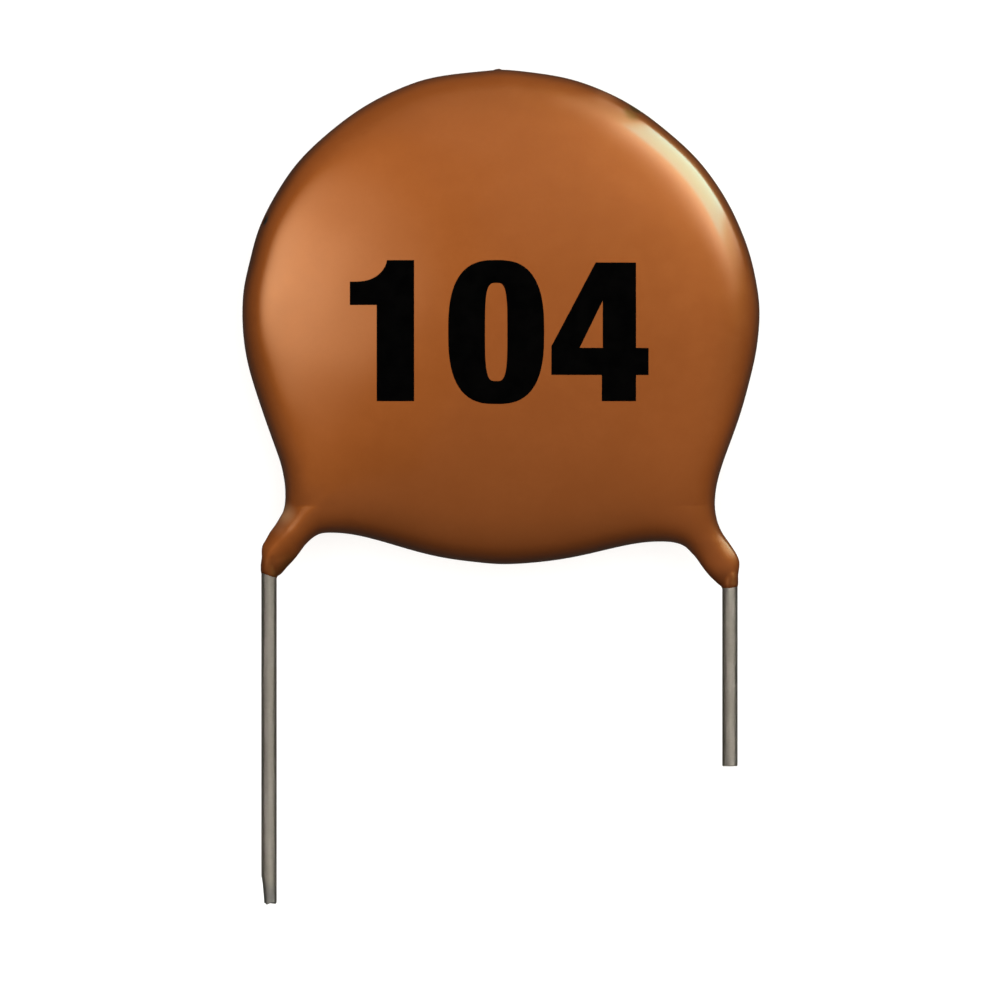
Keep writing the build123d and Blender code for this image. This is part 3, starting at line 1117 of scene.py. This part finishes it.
def right_shine(m, at):
    """A bright pane, with a warm glow that fades out round it, brightest over its top."""
    part = m.node("SeparateXYZ")
    m.put(part.inputs[0], at)
    x, y = part.outputs[0], part.outputs[1]
    across = m.math("MULTIPLY", m.span(x, PANE_WIDE - 0.03, PANE_WIDE + 0.42, 1.0, 0.0), m.span(x, -PANE_WIDE - 0.33, 0.03 - PANE_WIDE))
    upright = m.math("MULTIPLY", m.span(y, PANE_TALL, PANE_TALL + HALO_TALL, 1.0, 0.0), m.span(y, -PANE_LOW - 0.12, -PANE_LOW))
    over = m.math("MULTIPLY", m.span(y, PANE_TALL - 0.05, PANE_TALL + 0.05), m.span(m.math("ABSOLUTE", x), 0.14, 0.38, 1.0, 0.0))
    power = m.math("ADD", m.span(x, -0.2, 0.2, SIDE_POWER, 0.72 * SIDE_POWER), m.math("MULTIPLY", over, TOP_POWER - SIDE_POWER))
    halo = m.math("MULTIPLY", m.math("MULTIPLY", across, upright), power)
    pane = m.math("MULTIPLY", m.span(m.math("ABSOLUTE", x), PANE_WIDE - 0.02, PANE_WIDE + 0.05, 1.0, 0.0), m.span(y, PANE_TALL - 0.02, PANE_TALL + 0.05, 1.0, 0.0))
    pane = m.math("MULTIPLY", pane, m.span(y, -PANE_LOW - 0.08, -PANE_LOW))
    colour = m.mix(pane, (1.0, 0.77, 0.57), (0.50, 1.0, 0.90))
    rest = m.math("MULTIPLY", halo, m.math("SUBTRACT", 1.0, pane))
    return colour, m.math("ADD", rest, m.math("MULTIPLY", pane, PANE_POWER))


LEFT_WIDE, LEFT_TALL, LEFT_POWER = 0.43, 0.62, 5.5
PANE_WIDE, PANE_LOW, PANE_TALL, HALO_TALL = 0.232, 0.55, 0.488, 0.53
PANE_POWER, SIDE_POWER, TOP_POWER = 9.8, 4.2, 8.8
card("left_glow", 168, 54, LEFT_WIDE, LEFT_TALL, left_shine, on_coating)
card("right_window", 41.0, 18, PANE_WIDE + 0.42, PANE_TALL + HALO_TALL, right_shine, on_coating)
far_light("wire_key", 0, 63, 104, 0.37, (1.0, 0.985, 0.96), glossy=True, group=on_wires)
far_light("wire_fill", 0, 80, 144, 0.53, (1.0, 0.975, 0.94), glossy=True, group=on_wires)
far_light("wire_side", 0, 88, 176, 0.63, (1.0, 0.975, 0.92), glossy=True, group=on_wires)

world = bpy.data.worlds.new("studio")
bpy.context.scene.world = world
world.use_nodes = True
tree = world.node_tree
tree.nodes.clear()
out = tree.nodes.new("ShaderNodeOutputWorld")
back = tree.nodes.new("ShaderNodeBackground")
coord = tree.nodes.new("ShaderNodeTexCoord")
split = tree.nodes.new("ShaderNodeSeparateXYZ")
ramp = tree.nodes.new("ShaderNodeMapRange")
ramp.interpolation_type = "SMOOTHSTEP"
tree.links.new(coord.outputs["Generated"], split.inputs[0])
tree.links.new(split.outputs[2], ramp.inputs[0])
for k, v in enumerate((-0.1, 0.95, 0.04, 0.10), 1):
    ramp.inputs[k].default_value = v
tree.links.new(ramp.outputs[0], back.inputs[1])
back.inputs[0].default_value = (1.0, 0.95, 0.86, 1)
tree.links.new(back.outputs[0], out.inputs[0])

# ---- camera -----------------------------------------------------------------------------
lens = bpy.data.cameras.new("camera")
lens.lens = 300
lens.sensor_width = 36
lens.clip_start = 0.01
lens.clip_end = 3.0
camera = bpy.data.objects.new("camera", lens)
bpy.context.scene.collection.objects.link(camera)
camera.location = (VIEW_AT[0] * MM, VIEW_AT[1] * MM, (MID_Z + VIEW_DISTANCE) * MM)
bpy.context.scene.camera = camera
bpy.context.scene.view_settings.view_transform = "Standard"


bpy.context.view_layer.update()
